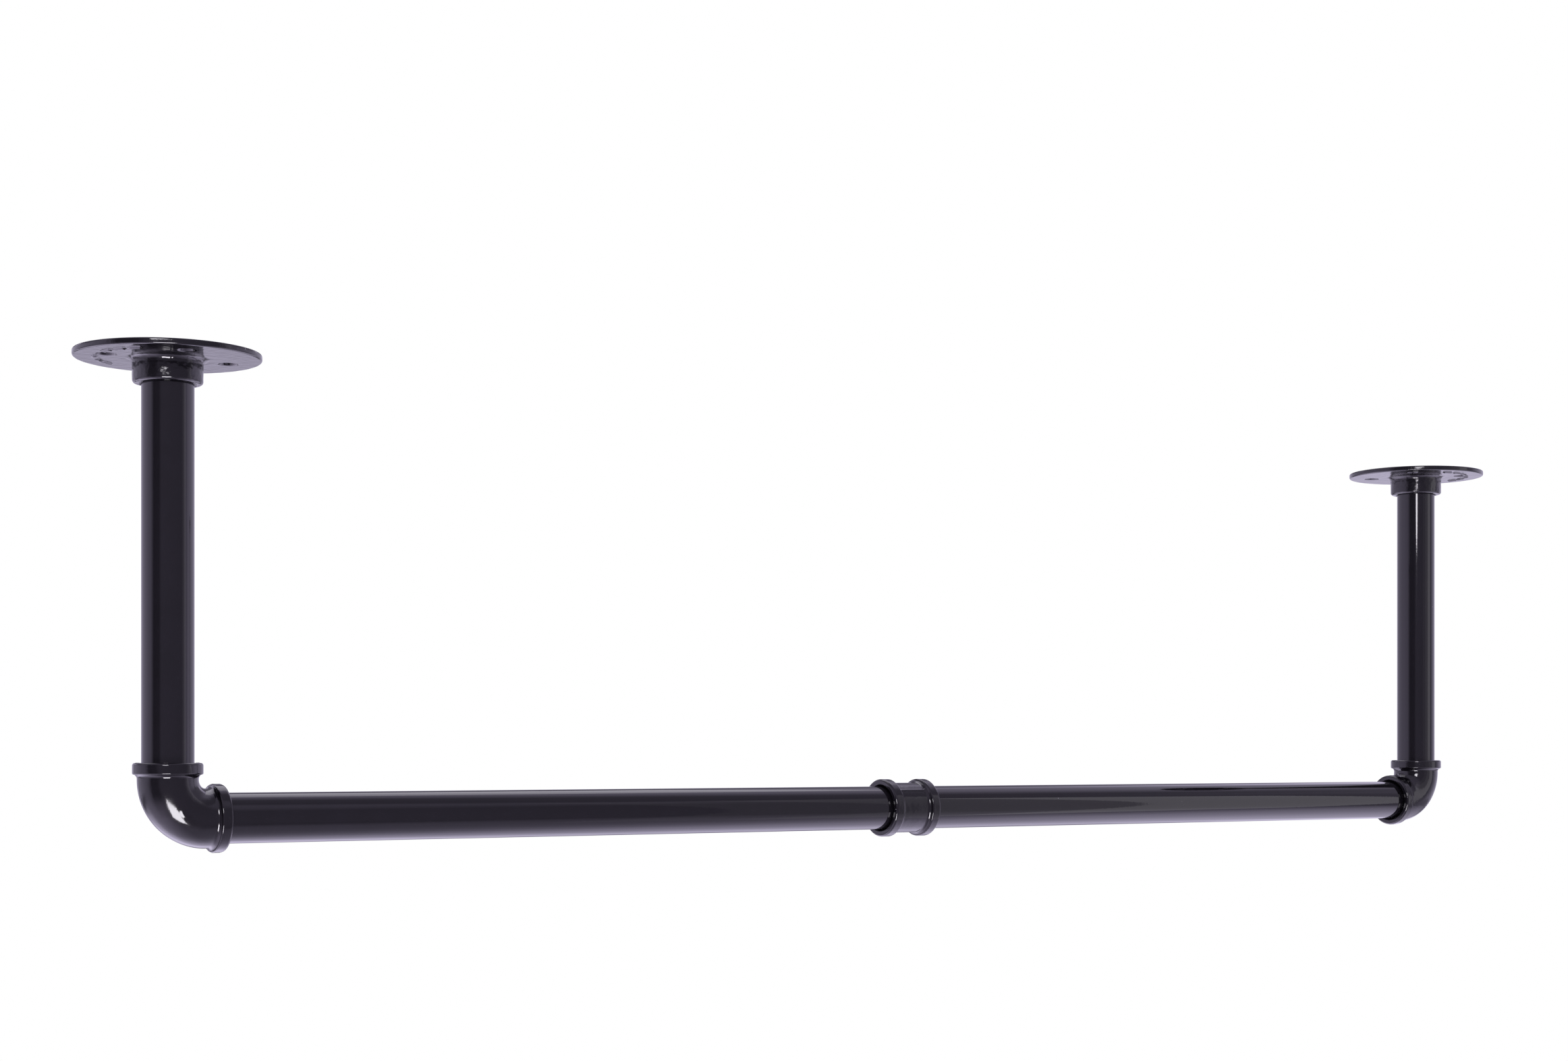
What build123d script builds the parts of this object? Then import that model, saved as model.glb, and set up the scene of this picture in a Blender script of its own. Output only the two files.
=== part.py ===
from build123d import *
import math
import os

# Clothes rail of black iron pipe, hung from a ceiling by two screwed flanges.
# Origin at the centre of the left flange's ceiling face, +X along the rail, +Z up, millimetres.

# Overall sizes: distance between the two drops, and ceiling face down to the rail's axis.
RAIL_SPAN = 950.0
DROP = 242.0

# Three-quarter inch pipe, and how far below its skin the mean line of a cut thread lies.
PIPE_OD = 26.9
PIPE_WALL = 2.65
THREAD_CUT = 0.8

# Play of a thread that is done up tight.
THREAD_PLAY = 0.0

# How deep a pipe end goes into a fitting, and how much of that is still full-size pipe.
ENGAGEMENT = 13.0
SHOULDER = 1.0
PIPE_END_CHAMFER = 0.5

# Fittings: metal outside the pipe's diameter, height of the collars, gap round the pipe at a mouth.
BODY_STEP = 2.25
COLLAR_STEP = 2.5
MOUTH_GAP = 1.4
THREAD_RELIEF = 1.0

# Collars: rounding of the edge at the mouth and of the edge at the back, slope down to the body.
COLLAR_EDGE = 1.8
COLLAR_BACK = 0.9
COLLAR_ROOT = 1.4

# Elbow: centreline radius outside and inside, straight neck above the bend, width of a collar.
ELBOW_BEND = 20.3
WATERWAY_BEND = 19.0
ELBOW_NECK = 2.9
ELBOW_COLLAR = 6.0

# Coupling: whole length and width of a collar.
COUPLING_LENGTH = 35.0
COUPLING_COLLAR = 6.4

# Flange: plate, hub and screw holes.
FLANGE_OD = 96.0
PLATE_THICKNESS = 3.4
HUB_DEPTH = 16.5
HUB_ROOT = 3.6
HUB_EDGE = 2.0
PLATE_EDGE = 1.0
SCREW_COUNT = 4
SCREW_CIRCLE = 64.0
SCREW_HOLE = 7.0
SCREW_SINK = 10.4
LEFT_HOLE_TURN = -3.0
RIGHT_HOLE_TURN = 37.0

# How close two lengths are when an edge or a corner is picked by its place.
NEAR = 0.01

# Sizes that follow from the ones above.
THREAD_OD = PIPE_OD - 2 * THREAD_CUT
BORE = THREAD_OD + 2 * THREAD_PLAY
PIPE_ID = PIPE_OD - 2 * PIPE_WALL
BODY_OD = PIPE_OD + 2 * BODY_STEP
COLLAR_OD = BODY_OD + 2 * COLLAR_STEP
MOUTH_OD = PIPE_OD + 2 * MOUTH_GAP
MOUTH_DEPTH = (MOUTH_OD - BORE) / 2
BORE_DEPTH = ENGAGEMENT + THREAD_RELIEF
ELBOW_REACH = ELBOW_BEND + ELBOW_NECK + ELBOW_COLLAR
DROP_PIPE_TOP = -HUB_DEPTH + ENGAGEMENT
DROP_PIPE_FOOT = -DROP + ELBOW_REACH - ENGAGEMENT
RAIL_PIPE_START = ELBOW_REACH - ENGAGEMENT
RAIL_PIPE_END = RAIL_SPAN / 2 - COUPLING_LENGTH / 2 + ENGAGEMENT


def pipe(length):
    """Hollow pipe standing on the origin, turned down to the thread's mean line at both ends."""
    thread = ENGAGEMENT - SHOULDER
    body = Cylinder(PIPE_OD / 2, length - 2 * thread)
    body = chamfer(body.edges().filter_by(GeomType.CIRCLE), THREAD_CUT)
    core = Cylinder(THREAD_OD / 2, length)
    core = chamfer(core.edges().filter_by(GeomType.CIRCLE), PIPE_END_CHAMFER)
    solid = body + core - Cylinder(PIPE_ID / 2, length)
    return Pos(0, 0, length / 2) * solid


def mouth(face_height):
    """Countersunk threaded hole to cut from a fitting, its face at the height given, looking up."""
    sink = Pos(0, 0, face_height - MOUTH_DEPTH / 2) * Cone(BORE / 2, MOUTH_OD / 2, MOUTH_DEPTH)
    bore = Pos(0, 0, face_height - BORE_DEPTH / 2) * Cylinder(BORE / 2, BORE_DEPTH)
    return sink + bore


def collar(face_height, width):
    """Raised ring round a fitting's mouth, both edges rounded as cast."""
    ring = Cylinder(COLLAR_OD / 2, width)
    ring = fillet(ring.edges().filter_by(GeomType.CIRCLE).sort_by(Axis.Z)[-1], COLLAR_EDGE)
    ring = fillet(ring.edges().filter_by(GeomType.CIRCLE).sort_by(Axis.Z)[0], COLLAR_BACK)
    return Pos(0, 0, face_height - width / 2) * ring


def bend(diameter, radius):
    """Quarter bend of a round bar from straight up at the origin's axis round to +X."""
    disc = Pos(0, 0, radius) * Circle(diameter / 2)
    return revolve(disc, Axis((radius, 0, radius), (0, 1, 0)), -90)


def collar_roots(solid):
    """Inside corners where a collar meets the body of its fitting."""
    rings = solid.edges().filter_by(GeomType.CIRCLE)
    return rings.filter_by(lambda edge: abs(edge.radius - BODY_OD / 2) < NEAR and edge.is_closed)


def elbow():
    """Elbow with its axes crossing at the origin, one mouth up and one toward +X."""
    to_rail = Rot(0, 90, 0)
    straight = ELBOW_REACH - ELBOW_BEND
    neck = Pos(0, 0, ELBOW_BEND + straight / 2) * Cylinder(BODY_OD / 2, straight)
    limb = neck + collar(ELBOW_REACH, ELBOW_COLLAR)
    body = limb + to_rail * limb + bend(BODY_OD, ELBOW_BEND)
    root_height = ELBOW_BEND + ELBOW_NECK
    roots = [
        edge for edge in collar_roots(body)
        if abs(max(edge.center().X, edge.center().Z) - root_height) < NEAR
    ]
    body = chamfer(roots, COLLAR_ROOT)
    waterway = ELBOW_REACH - WATERWAY_BEND
    hole = mouth(ELBOW_REACH) + Pos(0, 0, ELBOW_REACH - waterway / 2) * Cylinder(PIPE_ID / 2, waterway)
    return body - bend(PIPE_ID, WATERWAY_BEND) - hole - to_rail * hole


def coupling():
    """Straight socket along Z, centred on the origin."""
    half = COUPLING_LENGTH / 2
    body = Cylinder(BODY_OD / 2, COUPLING_LENGTH - COUPLING_COLLAR)
    ring = collar(half, COUPLING_COLLAR)
    turned = Rot(180, 0, 0)
    body = body + ring + turned * ring
    root_height = half - COUPLING_COLLAR
    roots = [edge for edge in collar_roots(body) if abs(abs(edge.center().Z) - root_height) < NEAR]
    body = chamfer(roots, COLLAR_ROOT)
    hole = mouth(half)
    return body - hole - turned * hole - Cylinder(PIPE_ID / 2, COUPLING_LENGTH)


def flange(hole_turn):
    """Screw plate with its ceiling face at the origin and its threaded hub hanging below."""
    plate_low = -PLATE_THICKNESS
    hub_radius = COLLAR_OD / 2
    section = Polyline(
        (0, 0),
        (FLANGE_OD / 2, 0),
        (FLANGE_OD / 2, plate_low),
        (hub_radius, plate_low),
        (hub_radius, -HUB_DEPTH),
        (0, -HUB_DEPTH),
        close=True,
    )
    outline = make_face(section)
    rim = outline.vertices().filter_by(lambda v: abs(v.X - FLANGE_OD / 2) < NEAR)
    outline = fillet(rim, PLATE_EDGE)
    foot = outline.vertices().filter_by(lambda v: abs(v.X - hub_radius) < NEAR and v.Y < NEAR - HUB_DEPTH)
    outline = fillet(foot, HUB_EDGE)
    root = outline.vertices().filter_by(lambda v: abs(v.X - hub_radius) < NEAR and v.Y > plate_low - NEAR)
    outline = fillet(root, HUB_ROOT)
    body = revolve(Plane.XZ * outline, Axis.Z)
    hole = Rot(180, 0, 0) * mouth(HUB_DEPTH)
    body = body - hole - Pos(0, 0, -HUB_DEPTH / 2) * Cylinder(BORE / 2, HUB_DEPTH)
    sink_depth = (SCREW_SINK - SCREW_HOLE) / 2
    screw = Pos(0, 0, plate_low / 2) * Cylinder(SCREW_HOLE / 2, PLATE_THICKNESS)
    screw = screw + Pos(0, 0, plate_low + sink_depth / 2) * Cone(SCREW_SINK / 2, SCREW_HOLE / 2, sink_depth)
    for number in range(SCREW_COUNT):
        turn = math.radians(hole_turn + 360 / SCREW_COUNT * number)
        place = Pos(SCREW_CIRCLE / 2 * math.cos(turn), SCREW_CIRCLE / 2 * math.sin(turn), 0)
        body = body - place * screw
    return body


# Pieces in their places, from the left flange round to the right one.
along_rail = Rot(0, 90, 0)
drop_pipe = pipe(DROP_PIPE_TOP - DROP_PIPE_FOOT)
rail_pipe = pipe(RAIL_PIPE_END - RAIL_PIPE_START)
elbow_casting = elbow()
pieces = {
    "left_flange": flange(LEFT_HOLE_TURN),
    "left_drop_pipe": Pos(0, 0, DROP_PIPE_FOOT) * drop_pipe,
    "left_elbow": Pos(0, 0, -DROP) * elbow_casting,
    "left_rail_pipe": Pos(RAIL_PIPE_START, 0, -DROP) * along_rail * rail_pipe,
    "coupling": Pos(RAIL_SPAN / 2, 0, -DROP) * along_rail * coupling(),
    "right_rail_pipe": Pos(RAIL_SPAN - RAIL_PIPE_END, 0, -DROP) * along_rail * rail_pipe,
    "right_elbow": Pos(RAIL_SPAN, 0, -DROP) * Rot(0, 0, 180) * elbow_casting,
    "right_drop_pipe": Pos(RAIL_SPAN, 0, DROP_PIPE_FOOT) * drop_pipe,
    "right_flange": Pos(RAIL_SPAN, 0, 0) * flange(RIGHT_HOLE_TURN),
}

os.makedirs("parts", exist_ok=True)
for node, shape in pieces.items():
    export_step(shape, f"parts/{node}.step")
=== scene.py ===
import math

import bmesh
import bpy
from mathutils import Matrix, Vector, noise


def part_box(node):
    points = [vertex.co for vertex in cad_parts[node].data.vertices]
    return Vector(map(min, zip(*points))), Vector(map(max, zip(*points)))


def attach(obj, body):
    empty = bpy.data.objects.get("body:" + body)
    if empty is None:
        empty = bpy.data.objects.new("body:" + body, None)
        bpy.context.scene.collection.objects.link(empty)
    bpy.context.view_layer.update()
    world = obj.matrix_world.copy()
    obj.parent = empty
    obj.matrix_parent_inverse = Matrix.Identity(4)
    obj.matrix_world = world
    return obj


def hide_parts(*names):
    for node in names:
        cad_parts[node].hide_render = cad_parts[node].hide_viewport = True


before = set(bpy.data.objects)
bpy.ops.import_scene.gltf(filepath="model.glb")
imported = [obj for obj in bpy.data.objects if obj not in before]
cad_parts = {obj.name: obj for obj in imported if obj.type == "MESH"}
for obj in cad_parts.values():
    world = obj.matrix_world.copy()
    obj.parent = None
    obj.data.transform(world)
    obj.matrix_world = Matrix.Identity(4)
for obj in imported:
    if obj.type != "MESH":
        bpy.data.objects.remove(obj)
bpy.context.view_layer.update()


# Ceiling flanges: grey iron, sand-cast in one piece, the hub tapped for the drop pipe.
# Four countersunk holes take the ceiling screws. The black gloss enamel lies thick on the
# casting, so its edges are soft, its skin is lumpy and it gathers where the hub meets the plate.
MM = 0.001
FLANGE_RADIUS = 48.0 * MM
PLATE_THICKNESS = 3.4 * MM
HUB_RADIUS = 18.2 * MM
HUB_DEPTH = 16.5 * MM
BORE_RADIUS = 12.65 * MM
MOUTH_RADIUS = 14.85 * MM
MOUTH_DEPTH = MOUTH_RADIUS - BORE_RADIUS

# Rounding of each edge of the flange, from the ceiling face round to the mouth.
BORE_TOP_EDGE = 0.4 * MM
RIM_TOP_EDGE = 1.0 * MM
RIM_EDGE = 1.1 * MM
HUB_ROOT = 3.2 * MM
HUB_EDGE = 2.0 * MM
HUB_MOUTH_EDGE = 0.4 * MM

# Tapped thread, seen from above between the pipe's end and the ceiling face.
PIPE_END_IN_FLANGE = 3.5 * MM
THREAD_PITCH = 1.81 * MM
THREAD_HEIGHT = 0.7 * MM

# Screw holes with their countersinks, and the soft lip of paint round each.
SCREW_COUNT = 4
SCREW_CIRCLE_RADIUS = 32.0 * MM
SCREW_HOLE_RADIUS = 3.5 * MM
SCREW_SINK_RADIUS = 5.2 * MM
HOLE_LIP = 1.2 * MM
HOLE_LIP_DEPTH = 0.15 * MM
HOLE_EDGE = 0.3 * MM
SINK_ROOT = 0.25 * MM
SINK_EDGE = 0.4 * MM
DRILL_OVER = 2.0 * MM
DRILL_CELL = 0.7 * MM
DRILL_STEPS = 64

# Plain raised dashes on the underside, by their turn to either side of one screw hole.
DASH_TURNS = (18.0, 33.0, 48.0)
DASH_RADIUS = 36.5 * MM
DASH_LENGTH = 5.4 * MM
DASH_WIDTH = 1.5 * MM
DASH_HEIGHT = 0.8 * MM
DASH_EDGE = 1.1 * MM
DASH_REACH = DASH_WIDTH / 2 + DASH_EDGE

# Lumps of the sand mould under the paint, and how deep they go on each face.
LUMP_SIZE = 4.5 * MM
GRAIN_SIZE = 1.8 * MM
GRAIN_SHIFT = Vector((7.0, 3.0, 5.0))
MEAN_SINK = 0.5
SWELL_SHARE = 0.34
GRAIN_SHARE = 0.16
PLATE_LUMP = 0.12 * MM
ROOT_LUMP = 0.34 * MM
FACE_LUMP = 0.04 * MM
ROOT_RADIUS = 25.0 * MM

# Fineness of the mesh on each part of the skin, and how close two places count as one.
FLANGE_CELL = 0.6 * MM
FACE_CELL = 1.3 * MM
DASH_CELL = 0.42 * MM
THREAD_CELL = 0.4 * MM
HIDDEN_CELL = 2.5 * MM
FLANGE_STEPS = 480
WEDGES = 16
ROUNDING_STEPS = 8
NEAR = 0.2 * MM
SKIN = 0.5 * MM
WELD = 0.001 * MM


def linear(hex_colour):
    """Linear colour of an sRGB hex value."""
    values = [int(hex_colour[place:place + 2], 16) / 255 for place in (1, 3, 5)]
    curve = [value / 12.92 if value <= 0.04045 else ((value + 0.055) / 1.055) ** 2.4 for value in values]
    return (*curve, 1.0)


def add_node(tree, kind, links=None, **settings):
    """Adds a node, with its settings, its socket values and the sockets that feed it."""
    made = tree.nodes.new(kind)
    for name, value in settings.items():
        setattr(made, name, value)
    for socket, value in (links or {}).items():
        if isinstance(value, bpy.types.NodeSocket):
            tree.links.new(value, made.inputs[socket])
        else:
            made.inputs[socket].default_value = value
    return made


def add_piece(name, bm, material):
    """Turns a mesh in metres into a piece of the object, smooth all over."""
    for face in bm.faces:
        face.smooth = True
    mesh = bpy.data.meshes.new(name)
    bm.to_mesh(mesh)
    bm.free()
    piece = bpy.data.objects.new(name, mesh)
    bpy.context.scene.collection.objects.link(piece)
    piece.data.materials.append(material)
    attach(piece, "root")
    return piece


def middle(box, axis):
    """Middle of a box along one axis."""
    low, high = box
    return low[axis] + (high[axis] - low[axis]) / 2


def section_wire(bm, corners, cell, closed):
    """Half section through an axis, from corners of radius, height and rounding."""
    verts = [bm.verts.new((radius, 0, height)) for radius, height, rounding in corners]
    ends = verts[1:] + verts[:1] if closed else verts[1:]
    for start, end in zip(verts, ends):
        bm.edges.new((start, end))
    for vert, (radius, height, rounding) in zip(verts, corners):
        if rounding:
            bmesh.ops.bevel(bm, geom=[vert], offset=rounding, offset_type="OFFSET", segments=ROUNDING_STEPS,
                            profile=0.5, affect="VERTICES", material=-1)
    for edge in bm.edges[:]:
        centre = (edge.verts[0].co + edge.verts[1].co) / 2
        cuts = int(edge.calc_length() / cell(centre.x, centre.z))
        if cuts:
            bmesh.ops.subdivide_edges(bm, edges=[edge], cuts=cuts)


def turn_round(bm, steps):
    """Spins the section through one wedge and repeats the wedge into a closed round skin."""
    wedge = 2 * math.pi / WEDGES
    bmesh.ops.spin(bm, geom=bm.verts[:] + bm.edges[:], cent=(0, 0, 0), axis=(0, 0, 1), angle=wedge,
                   steps=steps // WEDGES)
    bmesh.ops.spin(bm, geom=bm.verts[:] + bm.edges[:] + bm.faces[:], cent=(0, 0, 0), axis=(0, 0, 1),
                   angle=2 * math.pi - wedge, steps=WEDGES - 1, use_duplicate=True)
    bmesh.ops.remove_doubles(bm, verts=bm.verts[:], dist=WELD)
    bmesh.ops.recalc_face_normals(bm, faces=bm.faces[:])


def cast_lumps(bm, place, depth_at):
    """Sinks each vertex by its share of the casting's lumps, never outwards."""
    bm.normal_update()
    moves = []
    for vert in bm.verts:
        spot = vert.co + place
        swell = noise.noise(spot / LUMP_SIZE)
        grain = noise.noise(spot / GRAIN_SIZE + GRAIN_SHIFT)
        sink = depth_at(vert.co) * (MEAN_SINK + SWELL_SHARE * swell + GRAIN_SHARE * grain)
        moves.append(vert.normal * -sink)
    for vert, move in zip(bm.verts, moves):
        vert.co += move


def rise(distance, edge):
    """Goes smoothly from one to nothing over the width of an edge."""
    share = min(1.0, max(0.0, 1 - distance / edge))
    return share * share * (3 - 2 * share)


def flange_cell(radius, height):
    """Fine cells where the casting is seen, finer still in thread and dashes, wide ones elsewhere."""
    if radius < BORE_RADIUS + NEAR:
        return THREAD_CELL if height > -PIPE_END_IN_FLANGE else HIDDEN_CELL
    if height > -WELD:
        return FACE_CELL
    return DASH_CELL if abs(radius - DASH_RADIUS) < DASH_REACH else FLANGE_CELL


def flange_lump(spot):
    """Roughest round the hub's root, nearly flat on the ceiling face, none in the bore."""
    radius = math.hypot(spot.x, spot.y)
    if radius < MOUTH_RADIUS + NEAR:
        return 0.0
    if spot.z > -SKIN:
        return FACE_LUMP
    near_root = max(0.0, 1 - abs(radius - HUB_RADIUS) / (ROOT_RADIUS - HUB_RADIUS))
    return PLATE_LUMP + (ROOT_LUMP - PLATE_LUMP) * near_root


def cut_thread(bm):
    """Shows the tapped thread above the end of the pipe."""
    for vert in bm.verts:
        radius = math.hypot(vert.co.x, vert.co.y)
        if radius < BORE_RADIUS + NEAR and -PIPE_END_IN_FLANGE < vert.co.z < -SKIN:
            turn = math.atan2(vert.co.y, vert.co.x) / (2 * math.pi)
            phase = (vert.co.z / THREAD_PITCH + turn) % 1.0
            wider = 1 + THREAD_HEIGHT / BORE_RADIUS * abs(2 * phase - 1)
            vert.co.x *= wider
            vert.co.y *= wider


def raise_dashes(bm, mark_turn):
    """Raises plain curved dashes from the plate's underside, three on each side of one screw hole."""
    centres = [math.radians(mark_turn + side * turn) for side in (-1, 1) for turn in DASH_TURNS]
    for vert in bm.verts:
        radius = math.hypot(vert.co.x, vert.co.y)
        across = abs(radius - DASH_RADIUS) - DASH_WIDTH / 2
        if vert.co.z > SKIN - PLATE_THICKNESS or across > DASH_EDGE:
            continue
        turn = math.atan2(vert.co.y, vert.co.x)
        nearest = min(abs(math.remainder(turn - centre, 2 * math.pi)) for centre in centres)
        along = nearest * DASH_RADIUS - DASH_LENGTH / 2
        vert.co.z -= DASH_HEIGHT * rise(math.hypot(max(0.0, across), max(0.0, along)), DASH_EDGE)


def drill_screw_holes(piece, centre_x, hole_turn):
    """Cuts the countersunk screw holes from the plate."""
    bm = bmesh.new()
    sink_depth = SCREW_SINK_RADIUS - SCREW_HOLE_RADIUS
    section_wire(bm, [
        (0, DRILL_OVER, 0),
        (SCREW_HOLE_RADIUS + HOLE_LIP, DRILL_OVER, 0),
        (SCREW_HOLE_RADIUS + HOLE_LIP, HOLE_LIP_DEPTH, 0),
        (SCREW_HOLE_RADIUS, -HOLE_LIP_DEPTH, HOLE_EDGE),
        (SCREW_HOLE_RADIUS, sink_depth - PLATE_THICKNESS, SINK_ROOT),
        (SCREW_SINK_RADIUS, HOLE_LIP_DEPTH - PLATE_THICKNESS, SINK_EDGE),
        (SCREW_SINK_RADIUS + HOLE_LIP, -HOLE_LIP_DEPTH - PLATE_THICKNESS, 0),
        (SCREW_SINK_RADIUS + HOLE_LIP, -PLATE_THICKNESS - DRILL_OVER, 0),
        (0, -PLATE_THICKNESS - DRILL_OVER, 0),
    ], lambda radius, height: DRILL_CELL, False)
    turn_round(bm, DRILL_STEPS)
    for face in bm.faces:
        face.smooth = True
    drill = bm.verts[:] + bm.edges[:] + bm.faces[:]
    for number in range(SCREW_COUNT):
        turn = math.radians(hole_turn + 360 / SCREW_COUNT * number)
        spot = Vector((centre_x + SCREW_CIRCLE_RADIUS * math.cos(turn),
                       SCREW_CIRCLE_RADIUS * math.sin(turn), 0))
        copy = bmesh.ops.duplicate(bm, geom=drill)["geom"]
        copy_verts = [item for item in copy if isinstance(item, bmesh.types.BMVert)]
        bmesh.ops.translate(bm, vec=spot, verts=copy_verts)
    bmesh.ops.delete(bm, geom=drill, context="VERTS")
    drill_mesh = bpy.data.meshes.new("screw_drill")
    bm.to_mesh(drill_mesh)
    bm.free()
    drill_object = bpy.data.objects.new("screw_drill", drill_mesh)
    bpy.context.scene.collection.objects.link(drill_object)
    cut = piece.modifiers.new("screw_holes", "BOOLEAN")
    cut.operation = "DIFFERENCE"
    cut.solver = "MANIFOLD"
    cut.object = drill_object
    shown = piece.evaluated_get(bpy.context.evaluated_depsgraph_get())
    drilled = bpy.data.meshes.new_from_object(shown)
    piece.modifiers.clear()
    whole = piece.data
    piece.data = drilled
    bpy.data.objects.remove(drill_object)
    bpy.data.meshes.remove(drill_mesh)
    bpy.data.meshes.remove(whole)


# Enamel: its colours, the real sizes of what shows in it, and its dust nibs as shares of their spacing.
ENAMEL_BLACK = "#0f0d12"
ENAMEL_THICK = "#070608"
DUST_GREY = "#8d8993"
SHINE_TINT = "#fbf7ff"
ENAMEL_IOR = 1.56
PAINT_SWELL = 3.2 * MM
PAINT_GRAIN = 0.9 * MM
PAINT_CLOUD = 14.0 * MM
CLOUD_LOW = 0.3
CLOUD_HIGH = 0.7
DUST_SPACING = 9.0 * MM
DUST_CORE = 0.015
DUST_RIM = 0.035
DUST_FREE_SHARE = 0.8
DUST_DULLNESS = 0.4


def enamel(name, thick, lump_height, grain_height, roughness, roughness_swing):
    """Black gloss enamel over a metal skin whose lumps and grain show through it."""
    material = bpy.data.materials.new(name)
    material.use_nodes = True
    tree = material.node_tree
    shader = tree.nodes["Principled BSDF"]
    spot = add_node(tree, "ShaderNodeTexCoord").outputs["Object"]
    swell = add_node(tree, "ShaderNodeTexNoise", {"Vector": spot, "Scale": 1 / PAINT_SWELL, "Detail": 2.0})
    grain = add_node(tree, "ShaderNodeTexNoise", {"Vector": spot, "Scale": 1 / PAINT_GRAIN, "Detail": 3.0})
    cloud = add_node(tree, "ShaderNodeTexNoise", {"Vector": spot, "Scale": 1 / PAINT_CLOUD, "Detail": 4.0})
    lumps = add_node(tree, "ShaderNodeBump", {
        "Height": swell.outputs["Fac"], "Distance": lump_height, "Strength": 1.0})
    skin = add_node(tree, "ShaderNodeBump", {
        "Height": grain.outputs["Fac"], "Distance": grain_height, "Strength": 1.0,
        "Normal": lumps.outputs["Normal"]})
    tone = add_node(tree, "ShaderNodeMix", data_type="RGBA", links={
        "Factor": cloud.outputs["Fac"], 6: linear(thick), 7: linear(ENAMEL_BLACK)})
    cells = add_node(tree, "ShaderNodeTexVoronoi", {"Vector": spot, "Scale": 1 / DUST_SPACING})
    near = add_node(tree, "ShaderNodeMapRange", {
        "Value": cells.outputs["Distance"], "From Min": DUST_CORE, "From Max": DUST_RIM,
        "To Min": 1.0, "To Max": 0.0})
    pick = add_node(tree, "ShaderNodeSeparateColor", {"Color": cells.outputs["Color"]})
    few = add_node(tree, "ShaderNodeMath", {0: pick.outputs["Red"], 1: DUST_FREE_SHARE},
                   operation="GREATER_THAN")
    speck = add_node(tree, "ShaderNodeMath", {0: near.outputs["Result"], 1: few.outputs["Value"]},
                     operation="MULTIPLY")
    dusty = add_node(tree, "ShaderNodeMix", data_type="RGBA", links={
        "Factor": speck.outputs["Value"], 6: tone.outputs[2], 7: linear(DUST_GREY)})
    dull = add_node(tree, "ShaderNodeMapRange", {
        "Value": cloud.outputs["Fac"], "From Min": CLOUD_LOW, "From Max": CLOUD_HIGH,
        "To Min": roughness, "To Max": roughness + roughness_swing})
    rough = add_node(tree, "ShaderNodeMath", {
        0: speck.outputs["Value"], 1: DUST_DULLNESS, 2: dull.outputs["Result"]}, operation="MULTIPLY_ADD")
    tree.links.new(dusty.outputs[2], shader.inputs["Base Color"])
    tree.links.new(rough.outputs["Value"], shader.inputs["Roughness"])
    tree.links.new(skin.outputs["Normal"], shader.inputs["Normal"])
    shader.inputs["IOR"].default_value = ENAMEL_IOR
    shader.inputs["Specular Tint"].default_value = linear(SHINE_TINT)
    return material


# Enamel lying thick on a sand casting: deep black and glossy, but lumpy enough that lamps break up
# into small ragged glints and only the broad light of the room stays whole.
plate_enamel = enamel("black_enamel_on_rough_cast_iron", ENAMEL_THICK, lump_height=0.07 * MM,
                      grain_height=0.03 * MM, roughness=0.07, roughness_swing=0.08)

# Centre of each flange, turn of its first screw hole, and turn of the hole between the dashes.
left_x = 0.0
right_x = middle(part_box("right_drop_pipe"), 0)
flange_places = {"left_flange": (left_x, -3.0, 177.0), "right_flange": (right_x, 37.0, -53.0)}
flange_shape = bmesh.new()
section_wire(flange_shape, [
    (BORE_RADIUS, 0, BORE_TOP_EDGE),
    (FLANGE_RADIUS, 0, RIM_TOP_EDGE),
    (FLANGE_RADIUS, -PLATE_THICKNESS, RIM_EDGE),
    (DASH_RADIUS + DASH_REACH, -PLATE_THICKNESS, 0),
    (DASH_RADIUS - DASH_REACH, -PLATE_THICKNESS, 0),
    (HUB_RADIUS, -PLATE_THICKNESS, HUB_ROOT),
    (HUB_RADIUS, -HUB_DEPTH, HUB_EDGE),
    (MOUTH_RADIUS, -HUB_DEPTH, HUB_MOUTH_EDGE),
    (BORE_RADIUS, -HUB_DEPTH + MOUTH_DEPTH, 0),
], flange_cell, True)
turn_round(flange_shape, FLANGE_STEPS)
cut_thread(flange_shape)
for flange_node, (centre_x, hole_turn, mark_turn) in flange_places.items():
    bm = flange_shape.copy()
    raise_dashes(bm, mark_turn)
    cast_lumps(bm, Vector((centre_x, 0, 0)), flange_lump)
    bmesh.ops.translate(bm, vec=(centre_x, 0, 0), verts=bm.verts[:])
    casting = add_piece(flange_node + "_casting", bm, plate_enamel)
    drill_screw_holes(casting, centre_x, hole_turn)
    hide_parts(flange_node)
flange_shape.free()


# Drop pipes and rail pipes: three-quarter inch steel tube, welded and drawn smooth.
# Their ends are threaded and screwed tight into the fittings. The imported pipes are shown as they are.
TUBE_ENAMEL_THICK = "#080709"

# Enamel lying thin on smooth tube: a near mirror with long straight reflections, broken only by a
# faint orange peel and a few dust nibs.
tube_enamel = enamel("black_enamel_on_steel_tube", TUBE_ENAMEL_THICK, lump_height=0.010 * MM,
                     grain_height=0.002 * MM, roughness=0.035, roughness_swing=0.025)
for pipe_node in ("left_drop_pipe", "right_drop_pipe", "left_rail_pipe", "right_rail_pipe"):
    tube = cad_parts[pipe_node]
    tube.data.materials.clear()
    tube.data.materials.append(tube_enamel)


# Elbows: malleable iron, cast hollow in a two-part mould with a collar round each mouth.
# The mould's joint leaves a thin ridge round the middle, and the paint rounds out the corner
# behind each collar. Drop pipe and rail pipe screw into the two mouths.
ELBOW_BEND = 20.3 * MM
ELBOW_REACH = 29.2 * MM
ELBOW_COLLAR = 6.0 * MM
COLLAR_RADIUS = 18.05 * MM
BODY_RADIUS = 15.7 * MM
WATERWAY_RADIUS = 10.8 * MM
WATERWAY_BEND = 15.0 * MM

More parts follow.
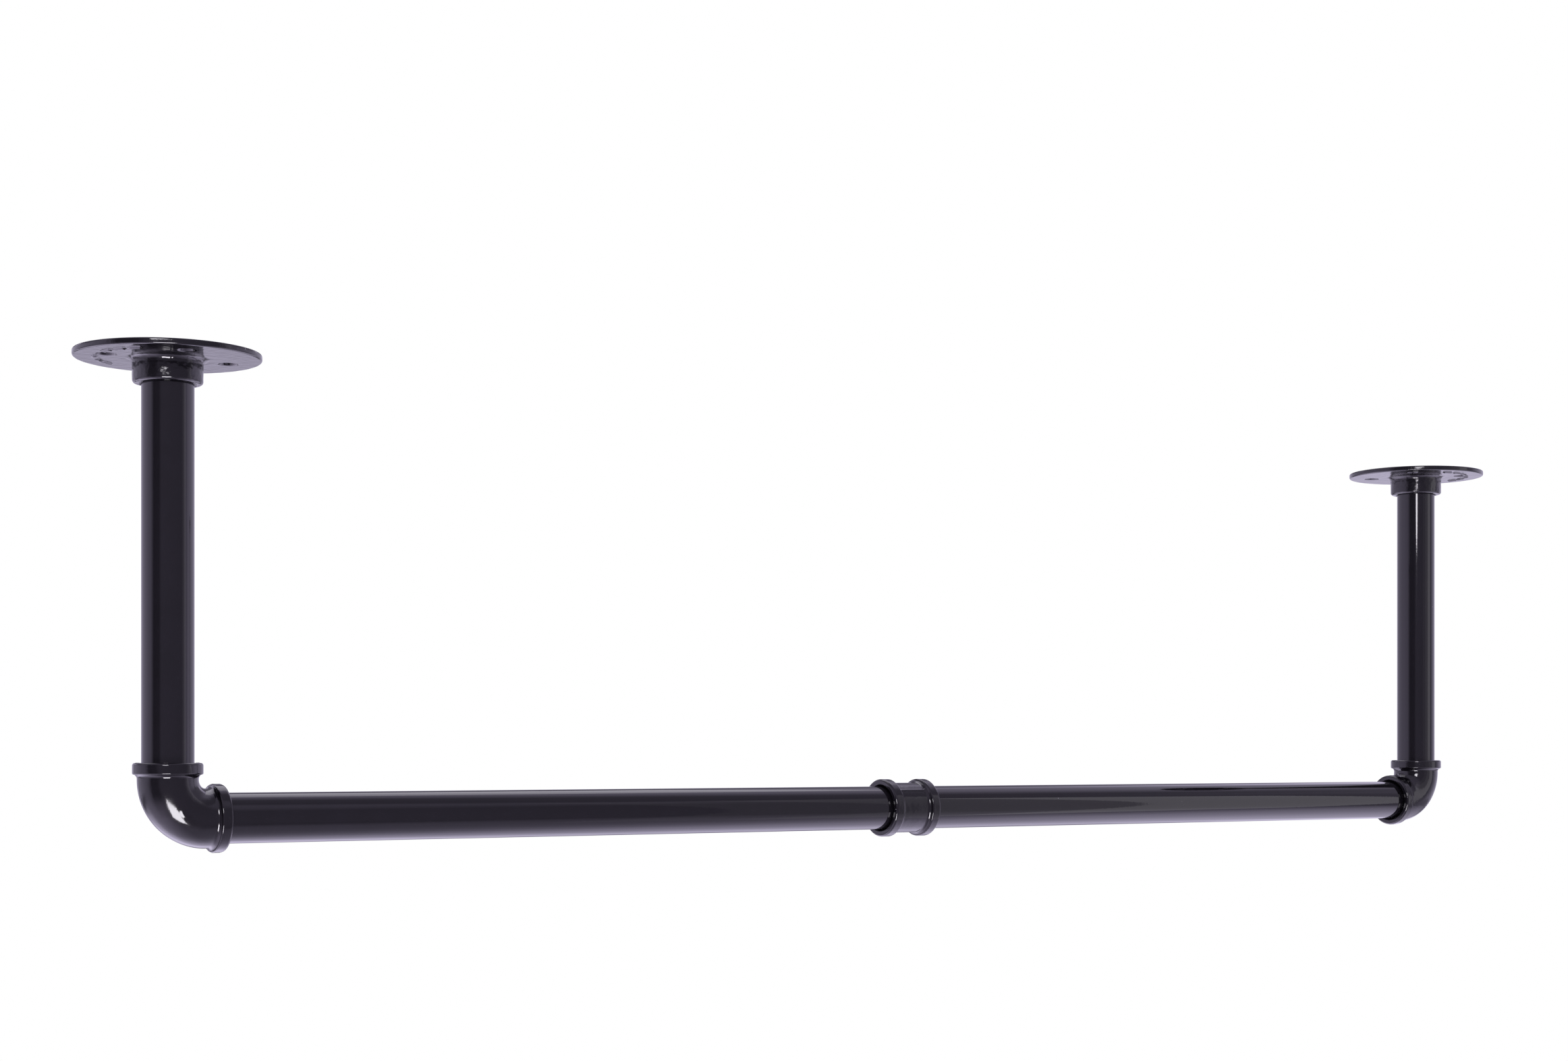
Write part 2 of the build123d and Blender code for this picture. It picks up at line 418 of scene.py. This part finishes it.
# Rounding of a fitting's edges, and the slope and hollow behind a collar.
BORE_EDGE = 0.2 * MM
MOUTH_EDGE = 0.5 * MM
COLLAR_EDGE = 1.4 * MM
COLLAR_BACK = 0.65 * MM
COLLAR_SLOPE = 0.5 * MM
COLLAR_ROOT = 1.85 * MM

# Marks of the mould: the skin's lumps, the ridge of its joint, and a pad where the iron ran in.
FITTING_LUMP = 0.09 * MM
RIDGE_WIDTH = 0.9 * MM
RIDGE_HEIGHT = 0.14 * MM
PAD_RADIUS = 4.2 * MM
PAD_EDGE = 1.0 * MM
PAD_HEIGHT = 0.13 * MM
PAD_CENTRE = Vector((5.4 * MM, 0, 4.6 * MM))

# Fineness of the mesh, and how close the limbs' rims lie to the bend's.
FITTING_CELL = 0.55 * MM
FITTING_STEPS = 192
BEND_STEPS = 72
LIMB_WELD = 0.01 * MM


def bend_ring(bm, radius, bend):
    """Sweeps a ring from the upright limb round to the level one."""
    ring = bmesh.ops.create_circle(bm, segments=FITTING_STEPS, radius=radius)["verts"]
    bmesh.ops.translate(bm, vec=(0, 0, bend), verts=ring)
    edges = {edge for vert in ring for edge in vert.link_edges}
    bmesh.ops.spin(bm, geom=ring + list(edges), cent=(bend, 0, bend), axis=(0, 1, 0),
                   angle=-math.pi / 2, steps=BEND_STEPS)


def fitting_cell(radius, height):
    """Fine cells outside, wide ones in the bore where the pipe hides them."""
    return FITTING_CELL if radius > BORE_RADIUS + NEAR else HIDDEN_CELL


def elbow_lump(spot):
    """Lumps on the outside skin, none in the two bores."""
    upright = math.hypot(spot.x, spot.y)
    level = math.hypot(spot.y, spot.z)
    if spot.z > ELBOW_BEND and upright < MOUTH_RADIUS + NEAR:
        return 0.0
    if spot.x > ELBOW_BEND and level < MOUTH_RADIUS + NEAR:
        return 0.0
    return FITTING_LUMP


def mould_marks(bm, has_pad):
    """Raises the ridge of the mould's joint and the round pad where the iron ran in."""
    bm.normal_update()
    moves = []
    for vert in bm.verts:
        height = 0.0
        if elbow_lump(vert.co):
            height = RIDGE_HEIGHT * rise(abs(vert.co.y), RIDGE_WIDTH / 2)
        if has_pad and vert.co.y < 0:
            away = math.hypot(vert.co.x - PAD_CENTRE.x, vert.co.z - PAD_CENTRE.z)
            height += PAD_HEIGHT * rise(away - PAD_RADIUS + PAD_EDGE, PAD_EDGE)
        moves.append(vert.normal * height)
    for vert, move in zip(bm.verts, moves):
        vert.co += move


# Enamel over malleable iron: smoother than on the sand castings, so that lamps show as whole bright
# patches with wavy edges and thin lines run along the collars.
fitting_enamel = enamel("black_enamel_on_malleable_iron", ENAMEL_THICK, lump_height=0.04 * MM,
                        grain_height=0.006 * MM, roughness=0.08, roughness_swing=0.07)

rail_height = middle(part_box("left_rail_pipe"), 2)
swap_limbs = Matrix(((0, 0, 1, 0), (0, 1, 0, 0), (1, 0, 0, 0), (0, 0, 0, 1)))
limb = bmesh.new()
section_wire(limb, [
    (WATERWAY_RADIUS, WATERWAY_BEND, 0),
    (BORE_RADIUS, WATERWAY_BEND, 0),
    (BORE_RADIUS, ELBOW_REACH - MOUTH_DEPTH, BORE_EDGE),
    (MOUTH_RADIUS, ELBOW_REACH, MOUTH_EDGE),
    (COLLAR_RADIUS, ELBOW_REACH, COLLAR_EDGE),
    (COLLAR_RADIUS, ELBOW_REACH - ELBOW_COLLAR, COLLAR_BACK),
    (BODY_RADIUS, ELBOW_REACH - ELBOW_COLLAR - COLLAR_SLOPE, COLLAR_ROOT),
    (BODY_RADIUS, ELBOW_BEND, 0),
], fitting_cell, False)
turn_round(limb, FITTING_STEPS)
limb_mesh = bpy.data.meshes.new("elbow_limb")
elbow_shape = bmesh.new()
bend_ring(elbow_shape, BODY_RADIUS, ELBOW_BEND)
bend_ring(elbow_shape, WATERWAY_RADIUS, WATERWAY_BEND)
for limb_turn in (Matrix.Identity(4), swap_limbs):
    bmesh.ops.transform(limb, matrix=limb_turn, verts=limb.verts[:])
    limb.to_mesh(limb_mesh)
    elbow_shape.from_mesh(limb_mesh)
limb.free()
bpy.data.meshes.remove(limb_mesh)
bmesh.ops.remove_doubles(elbow_shape, verts=elbow_shape.verts[:], dist=LIMB_WELD)
bmesh.ops.recalc_face_normals(elbow_shape, faces=elbow_shape.faces[:])
for elbow_node, centre_x, facing in (("left_elbow", left_x, 0.0), ("right_elbow", right_x, math.pi)):
    bm = elbow_shape.copy()
    place = Vector((centre_x, 0, rail_height))
    cast_lumps(bm, place, elbow_lump)
    mould_marks(bm, elbow_node == "left_elbow")
    bmesh.ops.rotate(bm, cent=(0, 0, 0), matrix=Matrix.Rotation(facing, 3, "Z"), verts=bm.verts[:])
    bmesh.ops.translate(bm, vec=place, verts=bm.verts[:])
    casting = add_piece(elbow_node + "_casting", bm, fitting_enamel)
    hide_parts(elbow_node)
elbow_shape.free()


# Coupling: a malleable iron socket, cast with a collar round each mouth and tapped from both ends.
# It joins the two halves of the rail at mid span, in the same enamel as the elbows.
# A flat ridge along each side of its body is the mould's joint.
COUPLING_HALF = 17.5 * MM
COUPLING_COLLAR = 6.4 * MM
COUPLING_STOP = 3.5 * MM
JOINT_TURN = math.radians(45)
JOINT_WIDTH = 2.2 * MM
JOINT_EDGE = 0.5 * MM
JOINT_HEIGHT = 0.3 * MM


def coupling_lump(spot):
    """Lumps on the outside skin, none in the bore."""
    return FITTING_LUMP if math.hypot(spot.x, spot.y) > MOUTH_RADIUS + NEAR else 0.0


mid_rail = (left_x + right_x) / 2
bm = bmesh.new()
half_section = [
    (WATERWAY_RADIUS, COUPLING_STOP, 0),
    (BORE_RADIUS, COUPLING_STOP, 0),
    (BORE_RADIUS, COUPLING_HALF - MOUTH_DEPTH, BORE_EDGE),
    (MOUTH_RADIUS, COUPLING_HALF, MOUTH_EDGE),
    (COLLAR_RADIUS, COUPLING_HALF, COLLAR_EDGE),
    (COLLAR_RADIUS, COUPLING_HALF - COUPLING_COLLAR, COLLAR_BACK),
    (BODY_RADIUS, COUPLING_HALF - COUPLING_COLLAR - COLLAR_SLOPE, COLLAR_ROOT),
]
other_half = [(radius, -height, rounding) for radius, height, rounding in reversed(half_section)]
section_wire(bm, half_section + other_half, fitting_cell, True)
turn_round(bm, FITTING_STEPS)
cast_lumps(bm, Vector((mid_rail, 0, 0)), coupling_lump)
bmesh.ops.rotate(bm, cent=(0, 0, 0), matrix=Matrix.Rotation(math.pi / 2, 3, "Y"), verts=bm.verts[:])
for vert in bm.verts:
    radius = math.hypot(vert.co.y, vert.co.z)
    from_joint = abs(vert.co.y * math.sin(JOINT_TURN) + vert.co.z * math.cos(JOINT_TURN))
    if MOUTH_RADIUS < radius < BODY_RADIUS + JOINT_HEIGHT:
        taller = 1 + JOINT_HEIGHT / radius * rise(from_joint - JOINT_WIDTH / 2 + JOINT_EDGE, JOINT_EDGE)
        vert.co.y *= taller
        vert.co.z *= taller
bmesh.ops.translate(bm, vec=(mid_rail, 0, rail_height), verts=bm.verts[:])
socket = add_piece("coupling_casting", bm, fitting_enamel)
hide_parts("coupling")


# Studio: a wide white floor well below the hanging rail, white on all sides to the camera.
# What the gloss paint mirrors is not that white but a studio: bright behind and beside the rail, dark
# behind the camera, and its floor beyond the rail a painted reflection glowing about a stop over white.
FLOOR_HEIGHT = -1.5
FLOOR_SIZE = 60.0
FLOOR_WHITE = "#f4f3f5"
CAMERA_YAW = math.radians(33.947)
ROOM_TINT = (0.98, 0.91, 1.18)
forward = Vector((math.sin(CAMERA_YAW), math.cos(CAMERA_YAW), 0))
rightward = Vector((forward.y, -forward.x, 0))
rail_centre = Vector((mid_rail, 0, rail_height))

# Light of the room at eye level, by the turn in degrees from straight behind the camera to its left.
EYE_LEVELS = (
    (-180, 0.75), (-130, 0.95), (-112, 1.0), (-96, 0.65), (-88, 0.42), (-82, 0.34), (-72, 0.31),
    (0, 0.34), (14, 0.34), (24, 0.15), (50, 0.13), (58, 0.55), (66, 0.85), (90, 1.0), (120, 0.9),
    (150, 0.75), (180, 0.75),
)

# The same above and below eye level, where two tall bright strips stand ahead of the camera.
STRIP_LEVELS = (
    (-180, 0.25), (-165, 0.3), (-160, 1.6), (-152, 1.6), (-147, 0.4), (-112, 0.5), (-96, 0.6),
    (-88, 0.42), (-82, 0.34), (-72, 0.31), (14, 0.34), (24, 0.15), (50, 0.13), (58, 0.55), (66, 0.85),
    (80, 0.9), (96, 0.4), (118, 0.3), (124, 1.6), (132, 1.6), (137, 0.35), (160, 0.25), (180, 0.25),
)
EYE_LEVEL_STEEPEST = 0.19
STRIPS_FROM_STEEPNESS = 0.25

# Light of the floor in the paint, by metres beyond the rail's middle, and what the left side adds.
GLOW_LEVELS = (
    (-2.2, 0.26), (-1.5, 0.26), (-1.0, 0.58), (-0.5, 0.68), (-0.25, 0.84), (0.0, 1.2), (0.35, 1.95),
    (1.0, 2.2), (2.5, 1.7),
)
GLOW_NEAR = -2.5
GLOW_FAR = 2.5
GLOW_MOST = 2.2
LEFT_GLOW = (0.36, 0.33, 0.43, 1)
LEFT_GLOW_FROM = -0.2
LEFT_GLOW_FULL = -1.1

# Distances from the rail's middle at which the floor's light gives way to the room's, and at which
# the shadow's ground fades to the white all round.
ROOM_FROM = 1.9
ROOM_FULL = 4.0
FADE_FROM = 1.4
FADE_FULL = 3.5
FADE_LEAST = 0.45

# Light of the ceiling, by how far ahead of the camera it is, and the steepness at which it begins.
CEILING_LEVELS = ((-0.65, 0.55), (-0.22, 0.58), (-0.12, 0.33), (0.15, 0.36), (0.4, 0.9))
CEILING_FROM = 0.45
CEILING_FULL = 0.72


def set_levels(ramp, levels, low, high):
    """Gives a ramp its grey levels between two places, each with the room's faint lilac cast."""
    stops = ramp.color_ramp.elements
    stops.remove(stops[1])
    for number, (place, level) in enumerate(levels):
        position = (place - low) / (high - low)
        stop = stops[0] if number == 0 else stops.new(position)
        stop.position = position
        stop.color = (*(level * share for share in ROOM_TINT), 1)


def room_levels(tree, ray):
    """Brightness of the room round about, as seen along a ray from the rail."""
    back = add_node(tree, "ShaderNodeVectorMath", {0: ray, 1: -forward}, operation="DOT_PRODUCT")
    left = add_node(tree, "ShaderNodeVectorMath", {0: ray, 1: -rightward}, operation="DOT_PRODUCT")
    turn = add_node(tree, "ShaderNodeMath", {0: left.outputs["Value"], 1: back.outputs["Value"]},
                    operation="ARCTAN2")
    share = add_node(tree, "ShaderNodeMapRange", {
        "Value": turn.outputs["Value"], "From Min": -math.pi, "From Max": math.pi})
    at_eye_level = add_node(tree, "ShaderNodeValToRGB", {"Fac": share.outputs["Result"]})
    set_levels(at_eye_level, EYE_LEVELS, -180, 180)
    with_strips = add_node(tree, "ShaderNodeValToRGB", {"Fac": share.outputs["Result"]})
    set_levels(with_strips, STRIP_LEVELS, -180, 180)
    unit_ray = add_node(tree, "ShaderNodeVectorMath", {0: ray}, operation="NORMALIZE")
    slope = add_node(tree, "ShaderNodeSeparateXYZ", {"Vector": unit_ray.outputs["Vector"]})
    steep = add_node(tree, "ShaderNodeMath", {0: slope.outputs["Z"]}, operation="ABSOLUTE")
    off_level = add_node(tree, "ShaderNodeMapRange", {
        "Value": steep.outputs["Value"], "From Min": EYE_LEVEL_STEEPEST,
        "From Max": STRIPS_FROM_STEEPNESS})
    return add_node(tree, "ShaderNodeMix", data_type="RGBA", links={
        "Factor": off_level.outputs["Result"], 6: at_eye_level.outputs["Color"],
        7: with_strips.outputs["Color"]}).outputs[2]


bm = bmesh.new()
bmesh.ops.create_grid(bm, x_segments=1, y_segments=1, size=FLOOR_SIZE / 2)
bmesh.ops.translate(bm, vec=(mid_rail, 0, FLOOR_HEIGHT), verts=bm.verts[:])
floor_mesh = bpy.data.meshes.new("studio_floor")
bm.to_mesh(floor_mesh)
bm.free()
floor = bpy.data.objects.new("studio_floor", floor_mesh)
bpy.context.scene.collection.objects.link(floor)

# Matt white floor that shows the camera a soft shadow on white; the gloss paint sees it glow as a painted
# reflection.
floor_with_painted_glow = bpy.data.materials.new("white_floor_with_painted_glow")
floor_with_painted_glow.use_nodes = True
tree = floor_with_painted_glow.node_tree
tree.nodes.clear()
path = add_node(tree, "ShaderNodeLightPath")
spot = add_node(tree, "ShaderNodeTexCoord").outputs["Object"]
from_rail = add_node(tree, "ShaderNodeVectorMath", {0: spot, 1: rail_centre},
                     operation="SUBTRACT").outputs["Vector"]
depth = add_node(tree, "ShaderNodeVectorMath", {0: from_rail, 1: forward}, operation="DOT_PRODUCT")
along = add_node(tree, "ShaderNodeMapRange", {
    "Value": depth.outputs["Value"], "From Min": GLOW_NEAR, "From Max": GLOW_FAR})
near_glow = add_node(tree, "ShaderNodeValToRGB", {"Fac": along.outputs["Result"]})
set_levels(near_glow, [(metres, level / GLOW_MOST) for metres, level in GLOW_LEVELS], GLOW_NEAR, GLOW_FAR)
side = add_node(tree, "ShaderNodeVectorMath", {0: from_rail, 1: rightward}, operation="DOT_PRODUCT")
leftward = add_node(tree, "ShaderNodeMapRange", {
    "Value": side.outputs["Value"], "From Min": LEFT_GLOW_FROM, "From Max": LEFT_GLOW_FULL})
left_glow = add_node(tree, "ShaderNodeMix", data_type="RGBA", blend_type="ADD", links={
    "Factor": leftward.outputs["Result"], 6: near_glow.outputs["Color"], 7: LEFT_GLOW})
reach = add_node(tree, "ShaderNodeVectorMath", {0: from_rail}, operation="LENGTH")
far_off = add_node(tree, "ShaderNodeMapRange", {
    "Value": reach.outputs["Value"], "From Min": ROOM_FROM, "From Max": ROOM_FULL})
far_glow = add_node(tree, "ShaderNodeMix", data_type="RGBA", blend_type="DIVIDE", links={
    "Factor": 1.0, 6: room_levels(tree, from_rail), 7: (GLOW_MOST, GLOW_MOST, GLOW_MOST, 1)})
glow = add_node(tree, "ShaderNodeMix", data_type="RGBA", links={
    "Factor": far_off.outputs["Result"], 6: left_glow.outputs[2], 7: far_glow.outputs[2]})
matt = add_node(tree, "ShaderNodeBsdfDiffuse", {"Color": linear(FLOOR_WHITE)})
# Painted reflection: for glossy rays the floor glows by itself, brightest beyond the rail and to the left,
# with no lamp lighting it.
shine = add_node(tree, "ShaderNodeEmission", {"Color": glow.outputs[2], "Strength": GLOW_MOST})
seen_in_paint = add_node(tree, "ShaderNodeMixShader", {
    "Fac": path.outputs["Is Glossy Ray"], 1: matt.outputs[0], 2: shine.outputs[0]})
fade = add_node(tree, "ShaderNodeMapRange", {
    "Value": reach.outputs["Value"], "From Min": FADE_FROM, "From Max": FADE_FULL,
    "To Min": FADE_LEAST, "To Max": 1.0})
to_camera = add_node(tree, "ShaderNodeMath", {0: fade.outputs["Result"], 1: path.outputs["Is Camera Ray"]},
                     operation="MULTIPLY")
white = add_node(tree, "ShaderNodeEmission", {"Color": (1, 1, 1, 1), "Strength": 1.0})
seen = add_node(tree, "ShaderNodeMixShader", {
    "Fac": to_camera.outputs["Value"], 1: seen_in_paint.outputs[0], 2: white.outputs[0]})
add_node(tree, "ShaderNodeOutputMaterial", {"Surface": seen.outputs[0]})
floor.data.materials.append(floor_with_painted_glow)

world = bpy.data.worlds.new("white_studio")
bpy.context.scene.world = world
world.use_nodes = True
tree = world.node_tree
tree.nodes.clear()
path = add_node(tree, "ShaderNodeLightPath")
ray = add_node(tree, "ShaderNodeTexCoord").outputs["Generated"]
walls = room_levels(tree, ray)
ahead = add_node(tree, "ShaderNodeVectorMath", {0: ray, 1: forward}, operation="DOT_PRODUCT")
across_room = add_node(tree, "ShaderNodeMapRange", {
    "Value": ahead.outputs["Value"], "From Min": -1.0, "From Max": 1.0})
ceiling = add_node(tree, "ShaderNodeValToRGB", {"Fac": across_room.outputs["Result"]})
set_levels(ceiling, CEILING_LEVELS, -1.0, 1.0)
upward = add_node(tree, "ShaderNodeSeparateXYZ", {"Vector": ray})
above = add_node(tree, "ShaderNodeMapRange", {
    "Value": upward.outputs["Z"], "From Min": CEILING_FROM, "From Max": CEILING_FULL},
    interpolation_type="SMOOTHSTEP")
room = add_node(tree, "ShaderNodeMix", data_type="RGBA", links={
    "Factor": above.outputs["Result"], 6: walls, 7: ceiling.outputs["Color"]})
studio = add_node(tree, "ShaderNodeBackground", {"Color": room.outputs[2], "Strength": 1.0})
white = add_node(tree, "ShaderNodeBackground", {"Color": (1, 1, 1, 1), "Strength": 1.0})
seen = add_node(tree, "ShaderNodeMixShader", {
    "Fac": path.outputs["Is Camera Ray"], 1: studio.outputs[0], 2: white.outputs[0]})
add_node(tree, "ShaderNodeOutputWorld", {"Surface": seen.outputs[0]})


def lit_panel(name, spot, target, width, height, radiance, spread):
    """Panel of soft light that looks at a point, its brightness given per square metre of face."""
    lamp = bpy.data.lights.new(name, "AREA")
    lamp.shape = "ELLIPSE" if spread < 90 else "RECTANGLE"
    lamp.size = width
    lamp.size_y = height
    lamp.energy = radiance * math.pi * width * height
    lamp.spread = math.radians(spread)
    panel = bpy.data.objects.new(name, lamp)
    panel.location = spot
    panel.rotation_euler = (Vector(target) - Vector(spot)).to_track_quat("-Z", "Y").to_euler()
    panel.visible_camera = False
    bpy.context.scene.collection.objects.link(panel)


# Two softboxes by the camera and a gridded one for the far flange, a folding white screen on the
# right whose leaves catch more and more light, and a broad softbox overhead.
left_elbow_spot = Vector((left_x, 0, rail_height))
right_flange_spot = Vector((right_x, 0, 0))
lit_panel("high_softbox", (-1.20, -2.20, 0.87), left_elbow_spot,
          width=0.85, height=0.66, radiance=17.0, spread=180)
lit_panel("low_softbox", (-0.56, -1.26, -1.28), left_elbow_spot,
          width=0.70, height=0.95, radiance=17.0, spread=180)
lit_panel("gridded_softbox", (-1.04, -2.10, 0.285), right_flange_spot,
          width=0.55, height=0.20, radiance=0.15, spread=20)
lit_panel("screen_leaf_a", (1.00, -0.855, -0.20), (0.96, 0.0, -0.20),
          width=0.24, height=2.0, radiance=0.11, spread=180)
lit_panel("screen_leaf_b", (1.265, -0.835, -0.20), (1.18, 0.0, -0.20),
          width=0.29, height=2.0, radiance=0.29, spread=180)
lit_panel("screen_leaf_c", (1.95, -1.078, -0.20), (2.38, -0.178, -0.20),
          width=1.2, height=2.0, radiance=0.86, spread=180)
lit_panel("overhead_softbox", (mid_rail, 1.25, 1.4), (mid_rail, 1.25, 0),
          width=2.6, height=1.4, radiance=1.0, spread=180)


# Camera: stands out to the left in front of the rail, a little above it, and looks level and
# slantwise across it, as in the photograph. The frame is shifted up, so that the drops stay upright.
camera = bpy.data.cameras.new("camera")
camera.sensor_width = 36.0
camera.lens = 54.7375
camera.shift_y = 0.142389
camera_object = bpy.data.objects.new("camera", camera)
camera_object.location = (-0.4255995, -1.2046892, -0.2080717)
camera_object.rotation_mode = "QUATERNION"
camera_object.rotation_quaternion = forward.to_track_quat("-Z", "Y")
bpy.context.scene.collection.objects.link(camera_object)
bpy.context.scene.camera = camera_object
bpy.context.scene.view_settings.view_transform = "Standard"
